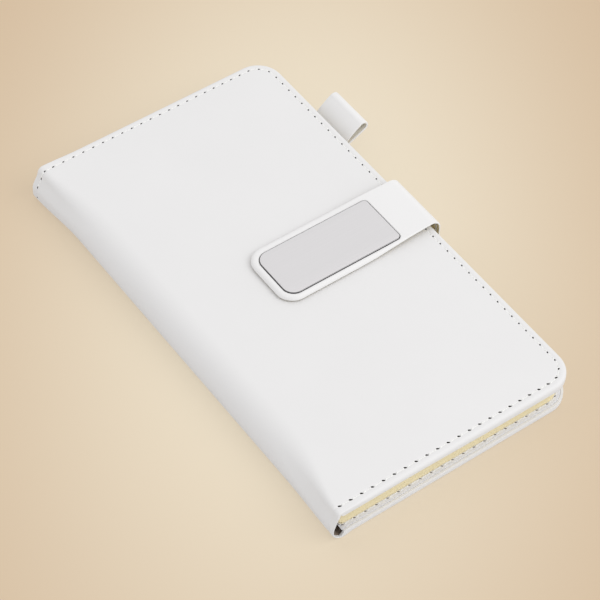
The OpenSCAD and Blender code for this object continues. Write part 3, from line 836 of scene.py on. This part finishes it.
def plate_loop(inset, each=14):
    """Outline of the plate moved in by inset: four round corners, closed by straight sides."""
    t = np.linspace(0, QUARTER, each)
    x, y = [], []
    for k, (cx, r) in enumerate(((PLATE_X1, PLATE_SMALL_R), (PLATE_X0, PLATE_BIG_R),
                                 (PLATE_X0, PLATE_BIG_R), (PLATE_X1, PLATE_SMALL_R))):
        angle = t + k * QUARTER
        mid_x = cx - r if k in (0, 3) else cx + r
        mid_y = PLATE_HALF - r if k in (0, 1) else r - PLATE_HALF
        x.append(mid_x + (r - inset) * np.cos(angle))
        y.append(mid_y + (r - inset) * np.sin(angle))
    return np.concatenate(x), np.concatenate(y)


def steel_plate():
    """Plate: its outline carried down a profile of inset and height, with a polished edge and a satin face.

    Each face is filled by shrinking the outline in steps onto a line along the plate's middle. The wall and
    the
    underside are steel darkened in colour: a painted dark reflection.
    """
    top_in, low_in = 0.22, 0.1
    edge = [(top_in, PLATE_TOP), (0.13, PLATE_TOP - 0.03), (0.06, PLATE_TOP - 0.07),
            (0.015, PLATE_TOP - 0.12), (0.0, PLATE_TOP - 0.18), (0.0, PLATE_LOW + 0.1), (low_in, PLATE_LOW)]

    def ring(inset, z):
        x, y = plate_loop(inset)
        return np.stack([x, y, np.full(len(x), z)], -1)
    wall = np.stack([ring(inset, z) for inset, z in edge])
    top, low = [ring(top_in, PLATE_TOP)], [ring(low_in, PLATE_LOW)]
    x, y = plate_loop(top_in)
    line_x = np.clip(x, PLATE_X0 + PLATE_HALF, PLATE_X1 - PLATE_HALF)
    for share in (0.3, 0.65, 1.0):
        pts = np.stack([x + share * (line_x - x), y * (1 - share), np.full(len(x), PLATE_TOP)], -1)
        top.append(pts)
        low.append(pts * [1, 1, 0] + [0, 0, PLATE_LOW])
    obj = piece("clasp_plate_steel", [wall, np.stack(top), np.stack(low)], [SATIN, DARK_REFLECTION_STEEL],
                ring=True, which=[1, 0, 1], crease=25)
    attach(obj, "clasp_flap")
    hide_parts("clasp_plate")


steel_plate()


# Pages

LEAVES = 8


def page_section(i):
    """One sewn section: leaves with cut edges that stand out unevenly, round at the fold.

    Near the fold the height above the middle shrinks by sqrt(1 - (1 - a / r)^2), so that the section closes.
    """
    low = COVER_T + FLYLEAF_T + (i - 1) * SECTION_T + (PART_GAP if i > SECTIONS / 2 else 0)
    r, mid = SECTION_T / 2, low + SECTION_T / 2
    fold = ROUND_X - math.sqrt((ROUND_R - r) ** 2 - (mid - MID_Z) ** 2)
    x0, length = fold - r, PAGE_X - fold + r
    flat_half = PAGE_HALF - PAGE_R - 0.1
    rows = np.linspace(-flat_half, flat_half, 30)
    cols = np.concatenate([r * (1 - np.cos(np.linspace(0, QUARTER, 8))),
                           np.linspace(r, length - PAGE_R, 16)[1:]])
    grid, edge, normal = tongue(length, PAGE_HALF, PAGE_R, cols, rows, r, 9)
    leaf = np.arange(LEAVES)
    uneven = 0.04 + 0.035 * np.sin(leaf * 2.4 + i * 1.7) + 0.02 * np.sin(leaf * 5.1 + i)
    d = (np.maximum(uneven, 0)[:, None] + np.array([0.035, 0, 0, 0.035])).ravel()
    z = ((leaf[:, None] + np.array([0.0, 0.2, 0.8, 1.0])) / LEAVES * 2 - 1).ravel()
    half_t, rim = 0.985 * r, 0.5
    close = lambda a: np.sqrt(np.maximum(1 - np.clip(1 - a / r, 0, 1) ** 2, 0))
    put = lambda a, y, k: np.stack(np.broadcast_arrays(x0 + a, y, mid + k * half_t * close(a)), -1)
    pts = edge[:, None, :] - np.concatenate([[rim], d, [rim]])[None, :, None] * normal[:, None, :]
    k = np.concatenate([[-1], z, [1]])[None, :]
    a, y = grid(rim)
    return [put(pts[..., 0], pts[..., 1], k), put(a, y, -1.0), put(a, y, 1.0)]


for label, body, numbers in (("rear_leaves", "back_cover", range(1, 5)),
                             ("front_leaves", "front_pages", range(5, 9))):
    for i in numbers:
        leaves = piece("%s_%d" % (label, i), page_section(i), [PAPER], crease=50)
        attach(leaves, body)
        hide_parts("page_section_%d" % i)


# Pen loop

def pen_loop():
    """Leather strip carried round a teardrop: two leaves that lie together near the root, and a round end.

    The teardrop is the outline round a small and a large circle. The lower leaf is pressed in near the root
    by the square of a sine, and the upper one bows out towards the end by a sine. The strip's profile is a
    rectangle of its width and thickness with round edges, trimmed at the tail side.
    """
    r0, r1 = LOOP_ROOT_R - LOOP_T / 2, LOOP_END_R - LOOP_T / 2
    lean = math.asin((r1 - r0) / LOOP_L)
    t = np.linspace(0, 1, 24)
    end = np.linspace(-QUARTER - lean, QUARTER + lean, 30)
    root = np.linspace(QUARTER + lean, 3 * QUARTER - lean, 8)
    bow = 0.35 * np.sin(math.pi * t ** 1.6)
    pinch = -0.42 * np.sin(math.pi * t ** 0.6) ** 2
    around = lambda angle: np.stack([np.cos(angle), np.sin(angle)], -1)
    leaf = lambda s, normal, out: (np.stack([s * LOOP_L, 0 * s], -1)
                                   + (r0 + (r1 - r0) * s + out)[:, None] * normal)
    path = np.concatenate([leaf(t, around(end[0]), pinch)[:-1], [LOOP_L, 0] + r1 * around(end),
                           leaf(t[::-1], around(end[-1]), bow[::-1])[1:], r0 * around(root)[1:-1]])
    ahead = np.roll(path, -1, 0) - np.roll(path, 1, 0)
    out = np.stack([ahead[:, 1], -ahead[:, 0]], -1)
    out /= np.linalg.norm(out, axis=1)[:, None]
    q = np.linspace(0, QUARTER, 5)
    edge_r, half_w, half_t = 0.3, LOOP_W / 2, LOOP_T / 2
    sine, cosine = edge_r * np.sin(q), edge_r * np.cos(q)
    side, face = half_w - edge_r, half_t - edge_r
    across = np.concatenate([side + sine, side + cosine, -(side + sine), -(side + cosine)])
    off = np.concatenate([face + cosine, -(face + sine), -(face + cosine), face + sine])
    xz = path[:, None, :] + off[None, :, None] * out[:, None, :]
    across = np.where(across < 0, across + LOOP_TRIM, across)
    rise = math.radians(LOOP_RISE)
    x = LOOP_X + xz[..., 0] * math.cos(rise) - xz[..., 1] * math.sin(rise)
    z = LOOP_Z + xz[..., 0] * math.sin(rise) + xz[..., 1] * math.cos(rise)
    pts = np.stack(np.broadcast_arrays(x, LOOP_Y + across[None, :], z), -1)
    pts = np.concatenate([pts, pts[:1]])
    obj = piece("pen_loop_leather", [np.roll(pts, -10, 1), pts[:, 9:11]], [STRAP, SUEDE],
                which=[0, 1], crease=60)
    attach(obj, "pen_loop")
    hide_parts("pen_loop")


pen_loop()
# The loop's end goes round a small bend into the back cover
LOOP_TAB_X, LOOP_TAB_Z, LOOP_TAB_T = LOOP_X + 0.35, 3.1, 0.66
LOOP_TAB_DROP, LOOP_TAB_R, LOOP_TAB_L = 0.4, 0.8, 17.2
TAB_LINE = ((LOOP_TAB_X, LOOP_TAB_Z), -QUARTER, 1,
            [(LOOP_TAB_DROP, 0), (LOOP_TAB_R * QUARTER, -1 / LOOP_TAB_R), (LOOP_TAB_L, 0)])
strap_layer("pen_loop_tab", TAB_LINE, lambda o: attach(o, "back_cover"), length_of(TAB_LINE), LOOP_W / 2,
            ROOT_CORNER_R, 0.0, -LOOP_TAB_T, ["loop_tab"], LOOP_Y)


# CAD pieces that stay, with their finishes

for node, material in {"back_padding": FELT, "front_padding": FELT, "back_board": BOARD,
                       "front_board": BOARD, "rear_flyleaf": PAPER, "front_flyleaf": PAPER,
                       "rear_mull": GAUZE, "front_mull": GAUZE, "keepers": PLAIN}.items():
    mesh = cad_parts[node].data
    mesh.materials.clear()
    mesh.materials.append(material)


# Floor, light and camera

# Painted pool of light on the floor round the object: its middle, turn, stretch and radius
POOL_AT, POOL_TURN, POOL_STRETCH, POOL_R = (4.1, 12.6, 0), -0.632, 1.862, 152.8
FLOOR_Z, FLOOR_RINGS, FLOOR_SIDES = -0.00002, [0, 0.4, 0.9, 2.0, 4.0], 64


def studio_floor():
    """Plain floor of flat rings, pale round the object and darker outwards.

    The tone, a painted pool of light, is a smooth step of the distance in an oval. To the camera and in
    reflections it shows that tone, to the camera partly as even light. The light it throws back on the
    object is a neutral grey.
    """
    mesh = bpy.data.meshes.new("floor")
    turn = np.linspace(0, 2 * math.pi, FLOOR_SIDES + 1)[:-1]
    x, y = [np.array(FLOOR_RINGS)[:, None] * wave(turn) for wave in (np.cos, np.sin)]
    pts = np.stack([x, y, np.full(x.shape, FLOOR_Z)], -1)
    mesh.from_pydata(pts.reshape(-1, 3).tolist(), [], grid_faces(*x.shape, 0, True)[:, ::-1].tolist())
    floor = bpy.data.objects.new("floor", mesh)
    bpy.context.scene.collection.objects.link(floor)
    m, tree, mm = start("studio_floor_with_painted_light_pool")
    oval = add(tree, "ShaderNodeMapping", {"vector_type": "TEXTURE"},
               {"Vector": mm, "Location": POOL_AT, "Rotation": (0, 0, POOL_TURN),
                "Scale": (1, POOL_STRETCH, 1)})
    away = add(tree, "ShaderNodeVectorMath", {"operation": "LENGTH"}, {0: oval.outputs[0]})
    share = add(tree, "ShaderNodeMapRange", {"interpolation_type": "SMOOTHSTEP"},
                {"Value": away.outputs["Value"], "From Min": 0.0, "From Max": POOL_R})
    # Painted pool of light: pale in the middle, darker outwards
    tone = add(tree, "ShaderNodeMix", {"data_type": "RGBA"},
               {"Factor": share.outputs[0], "A": linear("#F2E7D1"), "B": linear("#D6BEA1")})
    ray = add(tree, "ShaderNodeLightPath").outputs
    direct = add(tree, "ShaderNodeMath", {"operation": "MAXIMUM"},
                 {0: ray["Is Camera Ray"], 1: ray["Is Glossy Ray"]})
    direct = add(tree, "ShaderNodeMath", {"operation": "MAXIMUM"},
                 {0: direct.outputs[0], 1: ray["Is Transmission Ray"]})
    shown = add(tree, "ShaderNodeMix", {"data_type": "RGBA"},
                {"Factor": direct.outputs[0], "A": linear("#DAD8D7"), "B": tone.outputs["Result"]})
    lit = add(tree, "ShaderNodeBsdfPrincipled", None,
              {"Base Color": shown.outputs["Result"], "Roughness": 0.9, "Specular IOR Level": 0.1})
    even = add(tree, "ShaderNodeEmission", None, {"Color": tone.outputs["Result"], "Strength": 1.0})
    faint = add(tree, "ShaderNodeMath", {"operation": "MULTIPLY"}, {0: ray["Is Camera Ray"], 1: 0.6})
    mixed = add(tree, "ShaderNodeMixShader", None,
                {0: faint.outputs[0], 1: lit.outputs[0], 2: even.outputs[0]})
    add(tree, "ShaderNodeOutputMaterial", None, {"Surface": mixed.outputs[0]})
    mesh.materials.append(m)


def studio_light():
    """Even white sky, and one wide soft lamp from the fore-edge side."""
    world = bpy.data.worlds.new("even_sky")
    bpy.context.scene.world = world
    world.use_nodes = True
    world.node_tree.nodes.clear()
    sky = add(world.node_tree, "ShaderNodeBackground", None, {"Color": (1, 1, 1, 1), "Strength": 0.84})
    add(world.node_tree, "ShaderNodeOutputWorld", None, {"Surface": sky.outputs[0]})
    lamp = bpy.data.lights.new("soft_lamp", "AREA")
    lamp.shape, lamp.size, lamp.energy = "DISK", 1.6, 14.0
    bulb = bpy.data.objects.new("soft_lamp", lamp)
    bpy.context.scene.collection.objects.link(bulb)
    bulb.location = (1.2, -1.3, 1.6)
    bulb.rotation_euler = (math.radians(48.0), 0, math.radians(42.6))


def photo_camera():
    """Camera at the photograph's angle: a long lens from above the spine and tail."""
    scene = bpy.context.scene
    eye = bpy.data.cameras.new("camera")
    eye.lens, eye.sensor_width, eye.clip_end = 144.478, 36.0, 20.0
    eye.shift_x, eye.shift_y = -0.0006, 0.0008
    cam = bpy.data.objects.new("camera", eye)
    scene.collection.objects.link(cam)
    cam.location = (-0.31574, -0.41314, 0.6218)
    cam.rotation_euler = [math.radians(v) for v in (39.57793, -1.10873, -35.688)]
    scene.camera = cam
    scene.view_settings.view_transform = "Standard"


studio_floor()
studio_light()
photo_camera()
